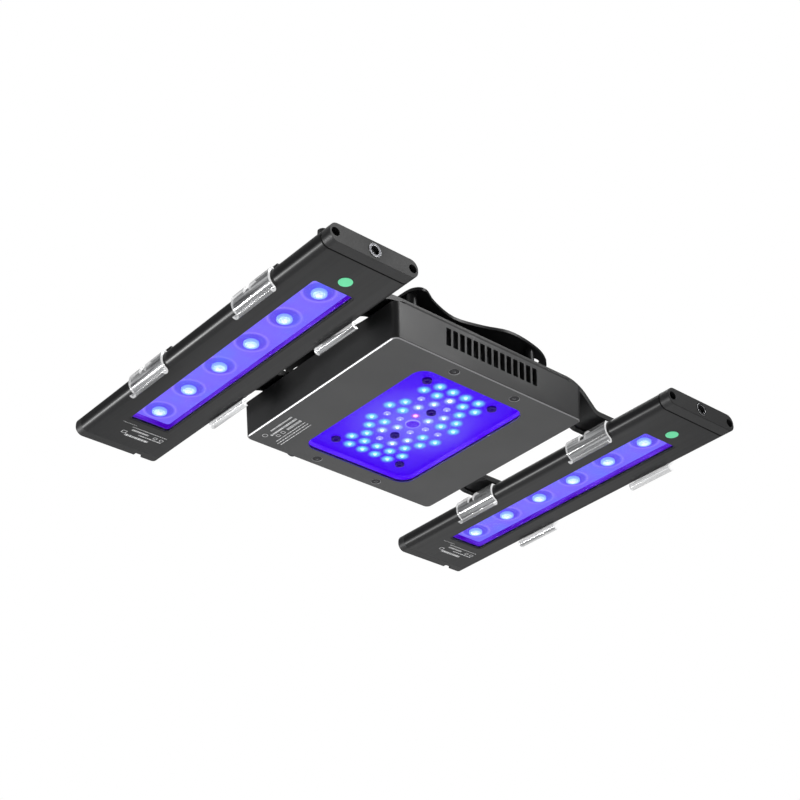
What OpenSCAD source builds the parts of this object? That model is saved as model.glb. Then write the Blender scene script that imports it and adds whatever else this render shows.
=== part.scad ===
// Aquarium light: a square LED panel with two slim LED bars held beside it in clear clips.
// The origin is the centre of the hanger plate's top face. +Z is up, the light shines down,
// and both bars run along Y with their sockets at the -Y end.

/* [Panel] */
// Width of the housing across X, at its top
panel_w = 186.3; // [184:0.1:190]
// Length of the housing along Y, at its top
panel_l = 180.3; // [180:0.1:186]
// How far each side wall leans in from top to bottom face
wall_flare = 1.35; // [0.5:0.05:2]
// Height of the folded housing
housing_h = 30; // [30:0.5:34]
// Width of the raised lid, which is square
lid_w = 174.6; // [172:0.1:176]
// Height of the raised lid above its seam
lid_t = 5; // [4:0.1:6]
// Radius of the lid's upright corners
lid_r = 8; // [5:0.5:10]
// Wall thickness of the housing
wall_t = 2; // [1.6:0.1:2.4]
// Radius of the panel's upright corners
panel_r = 5; // [3:0.5:8]
// Window size across X
window_w = 102.6; // [96:0.2:106]
// Window size along Y
window_l = 140; // [136:0.5:142]
// Window corner radius
window_r = 11; // [6:0.5:14]
// Number of vent slots in the front wall
vent_count = 14; // [8:1:16]
// Distance from one vent slot to the next
vent_pitch = 6.53; // [6:0.01:7]
// Radius of the round power inlet on the back wall
inlet_r = 5.5; // [4.5:0.1:6]

/* [LED board] */
// Distance between emitters in a row
led_pitch_x = 12.6; // [12:0.1:13]
// Distance between rows
led_pitch_y = 10.56; // [10:0.02:11]
// Width of one emitter package
led_w = 3.5; // [2.5:0.1:4]

/* [Bars] */
// Distance from the panel's middle to the middle of a bar
bar_x = 158.9; // [158:0.1:170]
// Width of a bar
bar_w = 73.7; // [70:0.1:76]
// Thickness of a bar
bar_t = 14.5; // [14:0.1:15]
// Length of a bar with its end caps
bar_len = 311; // [300:1:320]
// Edge radius of a bar
bar_r = 6.5; // [5:0.1:7]
// How far the bars sit towards +Y in their clips
bar_shift = 6.9; // [0:0.1:10]
// Length of the socket end cap
near_cap_len = 9.4; // [8:0.2:14]
// Length of the plain end cap
far_cap_len = 8; // [6:0.2:12]
// Distance between LED pucks
puck_pitch = 38.74; // [36:0.02:40]

/* [Bracket] */
// Width of each strap
strap_w = 28; // [24:0.5:30]
// Thickness of each strap
strap_t = 4.4; // [3:0.1:5]
// Distance of each strap from the bracket's middle
strap_y = 63.75; // [60:0.25:66]
// Where the bracket's middle lies along the panel
bracket_y = -5.25; // [-8:0.25:0]
// Height of the posts under the hanger plate
post_h = 13.3; // [10:0.1:20]
// Radius of the posts
post_r = 3.8; // [3:0.1:4]
// Distance between the hanger plate's bolt holes
hanger_hole_pitch = 40; // [30:1:46]
// Radius of the hanger plate's bolt holes
hanger_hole_r = 2.2; // [1.6:0.1:2.7]

/* [Clips] */
// Length of a clip along the bar
clip_len = 42; // [38:1:46]
// Wall thickness of a clip
clip_t = 1.8; // [1.4:0.1:2]
// Gap between a clip and its bar
clip_gap = 0.3; // [0.25:0.05:0.4]
// Distance of each clip from the panel's middle
clip_y = 64; // [62:0.5:68]

/* [Hidden] */
$fn = 64;
eps = 0.01;

// Colours
satin_black = "#2b2c2e";
soft_black = "#1c1d1f";
clear_plastic = [0.86, 0.9, 0.94, 0.45];
violet = "#5a2cff";
steel = "#b9bcc0";
raw_aluminium = "#a9adb2";
board_white = "#e8e6ff";
board_green = "#1f5b3a";

// Heights above the panel's bottom face
cover_face_z = 0.3;
cover_z = 2.4;
cover_t = 1.5;
board_z = 6;
board_t = 1.6;
sink_z = board_z + board_t;
sink_base_t = 5;
fin_top = 26;
pocket_z = 17.6;
lid_z = housing_h + 0.4;
lid_top = lid_z + lid_t;
lid_plate_t = 1.8;
lid_wall = 2;
lid_under = lid_top - lid_plate_t;
pad_t = 0.4;
strap_z = lid_top + pad_t;
crown_z = bar_t + clip_gap;
crown_top = crown_z + clip_t;
post_z = strap_z + strap_t;
plate_z = post_z + post_h;
plate_t = 2.5;
hub_step = 1.5;
hanger_top = plate_z + plate_t;

// Panel
panel_half = panel_l / 2;
bottom_w = panel_w - 2 * wall_flare;
bottom_l = panel_l - 2 * wall_flare;
chamfer = 1;
cavity_w = bottom_w - 2 * wall_t - 0.1;
cavity_l = bottom_l - 2 * wall_t - 0.1;
cover_margin = 7;
board_margin = 9;
vent_z = 19.5;
vent_w = 4.6;
vent_h = 14.6;
sink_w = 150;
sink_l = 168;
fin_count = 25;
fin_pitch = 5.95;
fin_t = 1.4;
inlet_room = [[-9.5, 7.5], [72, 90]];
board_screw_x = 31.9;
board_screw_y = 53.3;
face_screw_x = 29.5;
face_screw_y = 80;
face_head_r = 4;
board_head_r = 3.6;
cap_post_r = 3.8;
boss_x = 81;
boss_r = 3.8;
boss_hole_depth = 12;
lid_screw_y = [-25, 20];

// Fan: square frame, stator on the frame's post, and a rotor cup that hangs over it
fan_w = 80;
fan_t = 15;
fan_hole = 71.5 / 2;
fan_z = lid_under - fan_t;
fan_bore_r = 38.6;
fan_floor_t = 1.6;
hub_r = 18;
hub_wall = 2.2;
hub_z = [2.4, 13.6];
post_wall_r = 4.4;
bearing_r = 3;
bearing_hole_r = 1.55;
shaft_r = 1.5;
shaft_top = 12.8;
blade_count = 7;
blade_size = [19.4, 13.6, 1.5];
blade_tilt = 38;

// Driver board on two rails across the fins
board_x = 58;
board_y = [47, 76];
rail_y = [50, 66];
rail_x = 60;
rail_half = 3;
rail_screw_x = 50;
ctl_z = fin_top + 1.6;
ctl_top = ctl_z + 1.6;
wire_r = 0.6;

// Power inlet: a round threaded barrel through the back wall
inlet_x = -42;
inlet_z = 11.2;
inlet_back = 76;
inlet_front = 97.7;
flange = [89.7, 91.7];
inlet_floor = [78, 90];
inlet_wall = 1.3;
contact_r = 2;

// Bars
window_half = 17.6;
window_y0 = -107;
window_y1 = 118.6;
window_corner = 3;
border = 1.2;
bar_wall = 2;
strip_rail = [20.4, 22.2];
cap_screw_x = 32.2;
cap_screw_r = 3.2;
cap_screw_head = [3.0, 2.4];
cap_screw_in = [5.4, 4.6];
bar_boss_len = 14;
notch_x = 18;
notch_half = 3;
socket_r = 5.1;
socket_bore_r = 3.4;
socket_bore_len = 4;
socket_lip = 0.4;
marker_y = -117.2;
marker_x = 0.7;
marker_r = 5;
stud_x = 31.6;
stud_y = -134.5;
stud_r = 3.6;
stud_seat = 3.2;

// Clip section
ear_gap = [1, 7];
ear_r = 5;
curl_turn = 62;
curl_r = 2.2;
curl_end = 318;

// Hanger plate: one half of its outline, the other half is turned 180 degrees
half_outline = [[-69.5, -20], [-69.5, -64], [-67, -77], [-59, -80.5], [-44, -73], [-20, -67],
                [4, -72], [24, -79], [46, -78], [66, -72.5], [79.5, -61], [79, -40]];
post_spots = [[-64.8, -70.75], [52, -70.75], [64.8, 70.75], [-52, 70.75]];

// Everything is drawn with z = 0 at the panel's bottom face and y = 0 at the panel's middle
module in_frame() {
    translate([0, -bracket_y, -hanger_top]) children();
}

module rounded(w, l, r) {
    square([w, l - 2 * r], center = true);
    square([w - 2 * r, l], center = true);
    for (x = [-1, 1], y = [-1, 1])
        translate([x * (w / 2 - r), y * (l / 2 - r)]) circle(r);
}

module slab(w, l, r, z, h) {
    translate([0, 0, z]) linear_extrude(h) rounded(w, l, r);
}

module box(x0, x1, y0, y1, z0, z1) {
    translate([x0, y0, z0]) cube([x1 - x0, y1 - y0, z1 - z0]);
}

module pin_at(x, y, z0, z1, r) {
    translate([x, y, z0]) cylinder(h = z1 - z0, r = r);
}

module four(x, y) {
    for (sx = [-1, 1], sy = [-1, 1]) translate([sx * x, sy * y, 0]) children();
}

// A countersunk or pan head screw pointing up, its head's outer face at z = 0
module screw_up(head_r, head_h, shank_r, len) {
    difference() {
        union() {
            cylinder(h = head_h, r1 = head_r, r2 = shank_r);
            cylinder(h = len, r = shank_r);
        }
        translate([0, 0, -eps]) cylinder(h = head_h * 0.6, r = shank_r * 0.7, $fn = 6);
    }
}

// The mouth of a countersunk hole that opens downwards at z = 0
module screw_mouth(head_r, depth, hole_r) {
    translate([0, 0, -eps]) cylinder(h = depth + eps, r1 = head_r, r2 = hole_r);
}

// A cap head screw pointing down, with the underside of its head at z = 0
module screw_down(head_r, head_h, shank_r, len) {
    difference() {
        union() {
            cylinder(h = head_h, r = head_r);
            translate([0, 0, -len]) cylinder(h = len + eps, r = shank_r);
        }
        translate([0, 0, head_h * 0.4]) cylinder(h = head_h, r = head_r * 0.5, $fn = 6);
    }
}

// ---- Panel ----

module housing_shell() {
    hull() {
        slab(bottom_w - 2 * chamfer, bottom_l - 2 * chamfer, panel_r - chamfer, 0, 0.02, $fn = 32);
        slab(bottom_w, bottom_l, panel_r, chamfer, 0.02, $fn = 32);
        slab(panel_w, panel_l, panel_r, housing_h - 0.02, 0.02, $fn = 32);
    }
}

module lid_boss() {
    difference() {
        pin_at(0, 0, wall_t - eps, lid_under, boss_r);
        pin_at(0, 0, lid_under - boss_hole_depth, lid_under + 1, 1.4);
    }
}

module boss_spots() {
    for (x = [-boss_x, boss_x]) {
        for (s = [-1, 1]) translate([x, bracket_y + s * strap_y, 0]) children();
        for (y = lid_screw_y) translate([x, y, 0]) children();
    }
}

module panel_housing() {
    color(satin_black) in_frame() {
        difference() {
            housing_shell();
            slab(cavity_w, cavity_l, panel_r - wall_t, wall_t, housing_h);
            slab(window_w, window_l, window_r, -1, wall_t + 2);
            four(face_screw_x, face_screw_y) {
                pin_at(0, 0, -1, wall_t + 1, 1.7);
                screw_mouth(face_head_r + 0.15, 1.75, 1.7);
            }
            for (i = [0 : vent_count - 1])
                translate([(i - (vent_count - 1) / 2) * vent_pitch, -panel_half, vent_z])
                    rotate([90, 0, 0]) linear_extrude(12, center = true) rounded(vent_w, vent_h, 0.8);
            translate([inlet_x, panel_half, inlet_z]) rotate([90, 0, 0])
                cylinder(h = 12, r = inlet_r + 0.1, center = true);
        }
        boss_spots() lid_boss();
    }
}

module window_gasket() {
    color(soft_black) in_frame() difference() {
        slab(window_w + cover_margin, window_l + cover_margin, window_r + 3, wall_t, cover_z - wall_t);
        slab(window_w - 0.6, window_l - 0.6, window_r - 0.3, wall_t - 1, 3);
    }
}

// A clear plate behind the opening, with a raised middle that fills it almost flush
module window_cover() {
    color(clear_plastic) in_frame() {
        slab(window_w + cover_margin, window_l + cover_margin, window_r + 3, cover_z, cover_t);
        slab(window_w - 0.8, window_l - 0.8, window_r - 0.4, cover_face_z, cover_z - cover_face_z + eps);
    }
}

module board_screw_spots() {
    four(board_screw_x, board_screw_y) children();
    for (s = [-1, 1]) translate([0, s * 2 * led_pitch_y, 0]) children();
}

module led_board() {
    color(board_white) in_frame() difference() {
        slab(window_w + board_margin, window_l + board_margin, 4, board_z, board_t);
        board_screw_spots() pin_at(0, 0, board_z - 1, sink_z + 1, 1.6);
    }
}

// Emitters stand in eleven staggered rows; the middle of rows -2, 0 and 2 is left free
function row_count(j) = abs(j) == 1 ? 6 : j % 2 == 0 ? 5 : 4;
led_spots = [
    for (j = [-5 : 5]) for (i = [0 : row_count(j) - 1])
        let (x = (i - (row_count(j) - 1) / 2) * led_pitch_x)
        if (!(x == 0 && abs(j) < 4)) [x, j * led_pitch_y]
];

led_body_h = 0.7;
led_lens_h = 1;
led_lens_r = 1.35;
centre_r = 5.6;
centre_ring_w = 1.2;
centre_core_r = 1.6;
centre_seat = 0.5;

module led_emitters() {
    half = led_w / 2;
    color("#cfe6ff") in_frame() for (p = led_spots) translate([p[0], p[1], board_z]) {
        box(-half, half, -half, half, -led_body_h, 0);
        pin_at(0, 0, -led_body_h - led_lens_h, eps - led_body_h, led_lens_r);
    }
}

module centre_emitter() {
    color("#d8d0ff") in_frame() {
        difference() {
            pin_at(0, 0, board_z - centre_ring_w, board_z, centre_r);
            pin_at(0, 0, board_z - 2, board_z - centre_seat, centre_r - centre_ring_w);
        }
        pin_at(0, 0, board_z - 1.4, board_z - centre_seat + eps, centre_core_r);
    }
}

module board_screws() {
    color(steel) in_frame() board_screw_spots()
        translate([0, 0, board_z]) mirror([0, 0, 1]) screw_down(board_head_r, 1.6, 1.4, 6);
}

sink_top = sink_z + sink_base_t;
pocket = fan_w / 2 + 2;

module heat_sink() {
    color(raw_aluminium) in_frame() difference() {
        union() {
            box(-sink_w / 2, sink_w / 2, -sink_l / 2, sink_l / 2, sink_z, sink_z + sink_base_t);
            four(face_screw_x, face_screw_y) pin_at(0, 0, wall_t, sink_z + eps, cap_post_r);
            difference() {
                for (i = [0 : fin_count - 1]) let (x = (i - (fin_count - 1) / 2) * fin_pitch)
                    box(x - fin_t / 2, x + fin_t / 2, -sink_l / 2, sink_l / 2, sink_top - eps, fin_top);
                box(-pocket, pocket, -pocket, pocket, pocket_z, fin_top + 1);
            }
        }
        box(inlet_x + inlet_room[0][0], inlet_x + inlet_room[0][1], inlet_room[1][0], inlet_room[1][1],
            sink_z - 1, fin_top + 1);
        four(face_screw_x, face_screw_y) pin_at(0, 0, 0, sink_z + 3, 1.5);
        board_screw_spots() pin_at(0, 0, sink_z - 1, sink_z + 4.6, 1.45);
    }
}

module face_screws() {
    color(soft_black) in_frame() four(face_screw_x, face_screw_y)
        translate([0, 0, 0.1]) screw_up(face_head_r, 1.5, 1.45, 9.5);
}

module fan_frame() {
    color(soft_black) in_frame() translate([0, 0, fan_z]) {
        difference() {
            slab(fan_w, fan_w, 4, 0, fan_t);
            pin_at(0, 0, -1, fan_t + 1, fan_bore_r);
            four(fan_hole, fan_hole) pin_at(0, 0, -1, fan_t + 1, 1.6);
        }
        difference() {
            union() {
                pin_at(0, 0, 0, fan_floor_t, hub_r - 1);
                for (a = [45, 135, 225, 315]) rotate(a)
                    box(hub_r - 4, fan_bore_r + 0.8, -2, 2, 0, fan_floor_t);
                pin_at(0, 0, 0, 9, post_wall_r);
            }
            pin_at(0, 0, 1, 10, bearing_r);
        }
    }
}

stator_z = 2.6;
stator_h = 5.4;
stator_core_r = 7.5;
stator_arm = [13.6, 3.2];

module fan_stator() {
    color("#8a4a24") in_frame() translate([0, 0, fan_z + stator_z]) difference() {
        union() {
            pin_at(0, 0, 0, stator_h, stator_core_r);
            for (a = [0, 90, 180, 270]) rotate(a)
                box(6, stator_arm[0], -stator_arm[1], stator_arm[1], 0.6, 4.8);
        }
        pin_at(0, 0, -1, 7, post_wall_r + 0.03);
    }
}

module fan_bearing() {
    color("#b08d4a") in_frame() translate([0, 0, fan_z + 1]) difference() {
        pin_at(0, 0, 0, 7.6, bearing_r);
        pin_at(0, 0, 0.8, 8, bearing_hole_r);
    }
}

module fan_rotor() {
    hub_roof = hub_z[1] - 1.6;
    color("#232427") in_frame() translate([0, 0, fan_z]) {
        difference() {
            pin_at(0, 0, hub_z[0], hub_z[1], hub_r);
            pin_at(0, 0, hub_z[0] - 1, hub_roof, hub_r - hub_wall);
            pin_at(0, 0, hub_roof - 1, shaft_top, shaft_r);
        }
        for (i = [0 : blade_count - 1]) rotate(i * 360 / blade_count)
            translate([hub_r + blade_size[0] / 2 - 0.7, 0, fan_t / 2 + 0.5])
                rotate([blade_tilt, 0, 0]) cube(blade_size, center = true);
    }
}

module fan_shaft() {
    color(steel) in_frame() pin_at(0, 0, fan_z + 2, fan_z + shaft_top, shaft_r);
}

module fan_screws() {
    color(steel) in_frame() four(fan_hole, fan_hole)
        translate([0, 0, lid_top]) screw_down(2.8, 1.2, 1.5, 15);
}

module control_board() {
    color(board_green) in_frame() difference() {
        translate([0, (board_y[0] + board_y[1]) / 2, 0])
            slab(2 * board_x, board_y[1] - board_y[0], 1.5, ctl_z, ctl_top - ctl_z);
        for (y = rail_y, x = [-rail_screw_x, rail_screw_x]) pin_at(x, y, ctl_z - 1, ctl_top + 1, 1.6);
    }
}

// Chips, round capacitors, a flat transformer and a row of small parts
module board_parts() {
    color("#3a3c40") in_frame() translate([0, 0, ctl_top]) {
        for (i = [0 : 3]) translate([-44 + i * 16, 54, 0]) cube([8, 8, 2.4]);
        for (i = [0 : 2]) translate([24 + i * 9, 66, 0]) cylinder(h = 2.9, r = 3.6);
        translate([-46, 66, 0]) cube([26, 8, 2.6]);
        for (i = [0 : 9]) translate([-14 + i * 3, 67, 0]) cube([1.6, 3.2, 1.2]);
    }
}

module board_rails() {
    color("#3c3f44") in_frame() for (y = rail_y) difference() {
        box(-rail_x, rail_x, y - rail_half, y + rail_half, fin_top, ctl_z);
        for (x = [-rail_screw_x, rail_screw_x]) pin_at(x, y, fin_top - 1, ctl_z + 1, 1.2);
    }
}

// Three wires from the inlet's contacts and two from the LED board, up to the driver board
module inner_wires() {
    feed_y = inlet_back - 2.8;
    color("#7a1f1f") in_frame() {
        for (a = [0, 120, 240]) let (x = inlet_x + contact_r * cos(a), z = inlet_z - contact_r * sin(a)) {
            translate([x, feed_y, z]) rotate([-90, 0, 0])
                cylinder(h = inlet_back - 1.5 - feed_y, r = wire_r - 0.08);
            pin_at(x, feed_y, z - wire_r, ctl_z, wire_r);
        }
        for (x = [-50, -48.2]) pin_at(x, feed_y, sink_z, ctl_z, wire_r);
    }
}

module lid_foot(s) {
    translate([0, bracket_y + s * strap_y, 0]) slab(164, strap_w - 2, 2, lid_top - eps, pad_t + eps);
}

// Fan grille: four rings of arched slots round a plain middle
module fan_grille() {
    for (k = [0 : 3]) difference() {
        pin_at(0, 0, lid_under - 1, lid_top + 1, 15 + k * 6);
        pin_at(0, 0, lid_under - 2, lid_top + 2, 11.4 + k * 6);
        for (a = [0, 60, 120]) rotate(a) box(-50, 50, -1.6, 1.6, lid_under - 2, lid_top + 2);
    }
}

// A shallow pan that stands on a flange in the housing's mouth
module top_lid() {
    flange_z = housing_h - 2;
    pan_w = lid_w - 2 * lid_wall;
    face_w = lid_w - 2 * chamfer;
    color(satin_black) in_frame() difference() {
        union() {
            slab(cavity_w - 0.4, cavity_l - 0.4, panel_r - wall_t, flange_z, lid_z - flange_z);
            hull() {
                slab(lid_w, lid_w, lid_r, lid_z - eps, lid_t - chamfer, $fn = 32);
                slab(face_w, face_w, lid_r - chamfer, lid_top - 0.02, 0.02, $fn = 32);
            }
            for (s = [-1, 1]) lid_foot(s);
        }
        slab(pan_w, pan_w, lid_r - lid_wall, flange_z - 1, lid_under - flange_z + 1);
        fan_grille();
        boss_spots() pin_at(0, 0, lid_under - 1, strap_z + 1, 1.7);
        four(fan_hole, fan_hole) pin_at(0, 0, lid_under - 1, lid_top + 1, 1.7);
    }
}

module lid_screws() {
    color(soft_black) in_frame() for (x = [-boss_x, boss_x], y = lid_screw_y)
        translate([x, y, lid_top]) screw_down(2.8, 1.4, 1.35, 10);
}

// Turns z along +Y, from the inlet's centre line
module at_inlet() {
    in_frame() translate([inlet_x, 0, inlet_z]) rotate([-90, 0, 0]) children();
}

module power_inlet() {
    color("#3a3b3e") at_inlet() difference() {
        union() {
            pin_at(0, 0, inlet_back, inlet_front, inlet_r);
            pin_at(0, 0, flange[0], flange[1], inlet_r + 1.4);
        }
        pin_at(0, 0, inlet_floor[1], inlet_front + 1, inlet_r - inlet_wall);
        pin_at(0, 0, inlet_back - 1, inlet_floor[0], inlet_r - inlet_wall);
    }
}

nut_span = [83.6, 86.6];
nut_r = 7.2;

module inlet_nut() {
    color(steel) at_inlet() difference() {
        pin_at(0, 0, nut_span[0], nut_span[1], nut_r, $fn = 6);
        pin_at(0, 0, nut_span[0] - 1, nut_span[1] + 1, inlet_r + 0.02);
    }
}

module inlet_pins() {
    color("#c9a24a") at_inlet() for (a = [0, 120, 240]) rotate(a) translate([contact_r, 0, 0]) {
        pin_at(0, 0, inlet_floor[1], inlet_floor[1] + 4, 0.5);
        pin_at(0, 0, inlet_back - 1.5, inlet_floor[0], 0.5);
    }
}

// ---- Bracket and hanger ----

bend_x = 84;
bend_r = 30;
toe_r = 7;
drop = strap_z - crown_top;
toe_z = (toe_r + strap_t) * (1 - cos(45));
slope = drop - (bend_r - strap_t) * (1 - cos(45)) - toe_z;
strap_end = bar_x + 30;
rib_w = 4.5;
hollow_t = 1.4;

function reverse(v) = [for (k = [len(v) - 1 : -1 : 0]) v[k]];
function arc(cx, cz, r, a0, a1) =
    [for (k = [0 : 8]) let (a = a0 + (a1 - a0) * k / 8) [cx + r * cos(a), cz + r * sin(a)]];

// Centres of the two bends in a strap's side view
bend_z = strap_z + strap_t - bend_r;
toe_x = bend_x + (bend_r - strap_t) * sin(45) + slope + (toe_r + strap_t) * sin(45);
toe_centre_z = crown_top + strap_t + toe_r;

// The line that lies a given height above the underside, from the first bend to the toe's end
function strap_line(up) = concat(
    arc(bend_x, bend_z, bend_r - strap_t + up, 90, 45),
    arc(toe_x, toe_centre_z, toe_r + strap_t - up, 225, 270)
);

// One half of a strap's side view, round the tip over the bar and back
strap_half = concat(
    strap_line(0),
    [[strap_end - 3, crown_top], [strap_end, crown_top + 1.5], [strap_end, crown_top + strap_t]],
    reverse(strap_line(strap_t))
);
strap_side = concat(strap_half, reverse([for (p = strap_half) [-p[0], p[1]]]));

// The hollow between the two ribs of the underside
hollow_end = strap_end - 7;
hollow_side = concat(
    strap_line(-1),
    [[hollow_end, crown_top - 1], [hollow_end, crown_top + hollow_t]],
    reverse(strap_line(hollow_t))
);

clip_screw_x = 14;

module strap(y) {
    color(soft_black) in_frame() difference() {
        translate([0, y, 0]) along_y(strap_w) polygon(strap_side);
        for (m = [0, 1]) mirror([m, 0, 0]) translate([0, y, 0])
            along_y(strap_w - 2 * rib_w) polygon(hollow_side);
        for (x = [-boss_x, boss_x]) pin_at(x, y, strap_z - 1, post_z + 1, 1.8);
        for (p = post_spots) pin_at(p[0], bracket_y + p[1], strap_z - 1, post_z + 1, 1.6);
        for (sx = [-1, 1], s = [-1, 1])
            pin_at(sx * bar_x + s * clip_screw_x, y, crown_top - 1, crown_top + strap_t + 1, 1.55);
    }
}

module near_strap() { strap(bracket_y - strap_y); }
module far_strap() { strap(bracket_y + strap_y); }

module strap_screws() {
    color(steel) in_frame() for (x = [-boss_x, boss_x], s = [-1, 1])
        translate([x, bracket_y + s * strap_y, post_z]) screw_down(2.9, 1.8, 1.35, 16);
}

module hanger_posts() {
    color(soft_black) in_frame() for (p = post_spots) translate([p[0], bracket_y + p[1], 0]) difference() {
        union() {
            pin_at(0, 0, post_z, plate_z, post_r);
            pin_at(0, 0, strap_z + 0.2, post_z + eps, 1.5);
        }
        pin_at(0, 0, plate_z - 9, plate_z + 1, 1.25);
    }
}

// A closed smooth curve through the given points
function blend(a, b, c, d, t) = 0.5 * (2 * b + (c - a) * t + (2 * a - 5 * b + 4 * c - d) * t * t
    + (3 * b - a - 3 * c + d) * t * t * t);
function smooth(pts, steps) = let (n = len(pts)) [
    for (i = [0 : n - 1]) for (k = [0 : steps - 1])
        blend(pts[(i + n - 1) % n], pts[i], pts[(i + 1) % n], pts[(i + 2) % n], k / steps)
];
outline = smooth(concat(half_outline, [for (p = half_outline) -p]), 4);

module hanger_plate() {
    color(soft_black) in_frame() translate([0, bracket_y, 0]) difference() {
        union() {
            translate([0, 0, plate_z]) linear_extrude(plate_t) polygon(outline);
            for (s = [-1, 1]) translate([s * 56, -s * 30, 0])
                box(-0.8, 0.8, -34, 34, plate_z - hub_step, plate_z + eps);
            pin_at(0, 0, plate_z - hub_step, plate_z + eps, 34);
        }
        four(hanger_hole_pitch / 2, hanger_hole_pitch / 2)
            pin_at(0, 0, plate_z - 3, hanger_top + 1, hanger_hole_r);
        pin_at(0, 0, plate_z - 3, hanger_top + 1, 9);
        for (s = [-1, 1]) pin_at(s * 65, -s * 59, plate_z - 3, hanger_top + 1, 7);
        for (p = post_spots) translate([p[0], p[1], 0]) {
            pin_at(0, 0, plate_z - 3, hanger_top + 1, 1.6);
            pin_at(0, 0, plate_z - 3, plate_z, post_r + 0.2);
            translate([0, 0, hanger_top]) mirror([0, 0, 1]) screw_mouth(2.75, 1.6, 1.6);
        }
    }
}

module hanger_screws() {
    color(steel) in_frame() for (p = post_spots)
        translate([p[0], bracket_y + p[1], hanger_top]) mirror([0, 0, 1]) screw_up(2.6, 1.4, 1.2, 10);
}

// ---- Clips ----

// One side of a clip's section: an ear over the bar's edge, a wall, and a curled lead-in lip
clip_out = bar_r + clip_gap + clip_t;
clip_in = bar_r + clip_gap;
edge_x = bar_w / 2 - bar_r;
upper_z = bar_t - bar_r;
split_z = bar_r + 0.5;
curl_x = edge_x + (clip_in + clip_t / 2 + curl_r) * cos(curl_turn);
curl_z = bar_r - (clip_in + clip_t / 2 + curl_r) * sin(curl_turn);

module clip_lower() {
    polygon(concat(
        [[edge_x + clip_in, split_z], [edge_x + clip_out, split_z]],
        arc(edge_x, bar_r, clip_out, 0, -curl_turn),
        arc(curl_x, curl_z, curl_r - clip_t / 2, 180 - curl_turn, curl_end),
        arc(curl_x, curl_z, curl_r + clip_t / 2, curl_end, 180 - curl_turn),
        arc(edge_x, bar_r, clip_in, -curl_turn, 0)
    ));
}

module clip_upper() {
    polygon(concat(
        [[edge_x + clip_in, split_z - 0.2], [edge_x + clip_out, split_z - 0.2]],
        arc(edge_x, upper_z, clip_out, 0, 90),
        arc(edge_x, upper_z, clip_in, 90, 0)
    ));
}

module along_y(len) {
    translate([0, len / 2, 0]) rotate([90, 0, 0]) linear_extrude(len) children();
}

// Side view of the two rounded ears
module ears() {
    rotate([90, 0, 90]) linear_extrude(bar_w + 20, center = true) {
        ear(-clip_len / 2, ear_gap[0]);
        ear(ear_gap[1], clip_len / 2);
    }
}

module ear(y0, y1) {
    top = crown_top + eps;
    polygon(concat(
        [[y0, split_z - 0.2], [y1, split_z - 0.2]],
        arc(y1 - ear_r, top - ear_r, ear_r, 0, 90),
        arc(y0 + ear_r, top - ear_r, ear_r, 90, 180)
    ));
}

module clip(sx, sy) {
    color(clear_plastic) in_frame() translate([sx * bar_x, sy * clip_y, 0]) difference() {
        union() {
            for (m = [0, 1]) mirror([m, 0, 0]) {
                along_y(clip_len) clip_lower();
                intersection() {
                    along_y(clip_len) clip_upper();
                    ears();
                }
            }
            translate([0, -1.5, 0]) slab(2 * edge_x + 1, clip_len - 7, 3, crown_z, clip_t);
        }
        for (s = [-1, 1]) translate([s * clip_screw_x, bracket_y + sy * (strap_y - clip_y), 0]) {
            translate([0, 0, crown_z]) screw_mouth(3, 1.4, 1.6);
            pin_at(0, 0, crown_z - 1, crown_top + 1, 1.6);
        }
    }
}

module left_near_clip() { clip(-1, -1); }
module left_far_clip() { clip(-1, 1); }
module right_near_clip() { clip(1, -1); }
module right_far_clip() { clip(1, 1); }

module clip_screws() {
    color(steel) in_frame() for (sx = [-1, 1], sy = [-1, 1], s = [-1, 1])
        translate([sx * bar_x + s * clip_screw_x, bracket_y + sy * strap_y, crown_z + 0.05])
            screw_up(2.9, 1.3, 1.5, 5.6);
}

// ---- Bars: sx is -1 for the left bar and 1 for the right bar ----

bar_y0 = bar_shift - bar_len / 2;
bar_y1 = bar_shift + bar_len / 2;
body_y0 = bar_y0 + near_cap_len;
body_y1 = bar_y1 - far_cap_len;
bar_cover_z = 2.4;
strip_z = 7.2;
window_mid = (window_y0 + window_y1) / 2;
window_len = window_y1 - window_y0;
bar_cover_w = 2 * window_half + 5;
puck_r = [5, 5.6, 4.6];
puck_z = strip_z - 3.6;

module bar_section() {
    translate([0, bar_t / 2]) rounded(bar_w, bar_t, bar_r);
}

module cavity_section() {
    translate([0, bar_t / 2]) rounded(bar_w - 2 * bar_wall, bar_t - 2 * bar_wall, bar_r - bar_wall);
}

module bar_run(y0, y1) {
    translate([0, y1, 0]) rotate([90, 0, 0]) linear_extrude(y1 - y0) children();
}

module on_bar(sx) {
    in_frame() translate([sx * bar_x, 0, 0]) children();
}

edge_boss_r = 3.4;
edge_boss_bore_r = 1.3;

module bar_body(sx) {
    color(satin_black) on_bar(sx) {
        difference() {
            bar_run(body_y0, body_y1) bar_section();
            bar_run(body_y0 - 1, body_y1 + 1) cavity_section();
            translate([0, window_mid, 0])
                slab(2 * window_half, window_len, window_corner, -1, bar_wall + 2);
            pin_at(sx * stud_x, stud_y, bar_t - stud_seat, bar_t + 1, stud_r + 0.05);
        }
        // rails that carry the LED strip
        for (m = [0, 1]) mirror([m, 0, 0])
            box(strip_rail[0], strip_rail[1], body_y0, body_y1, bar_wall - eps, strip_z);
        // screw bosses along both edges
        for (s = [-1, 1], e = [[body_y0, body_y0 + bar_boss_len], [body_y1 - bar_boss_len, body_y1]])
            translate([s * cap_screw_x, 0, bar_t / 2]) rotate([-90, 0, 0]) difference() {
                pin_at(0, 0, e[0], e[1], edge_boss_r);
                pin_at(0, 0, e[0] - 1, e[1] + 1, edge_boss_bore_r);
            }
    }
}

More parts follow.
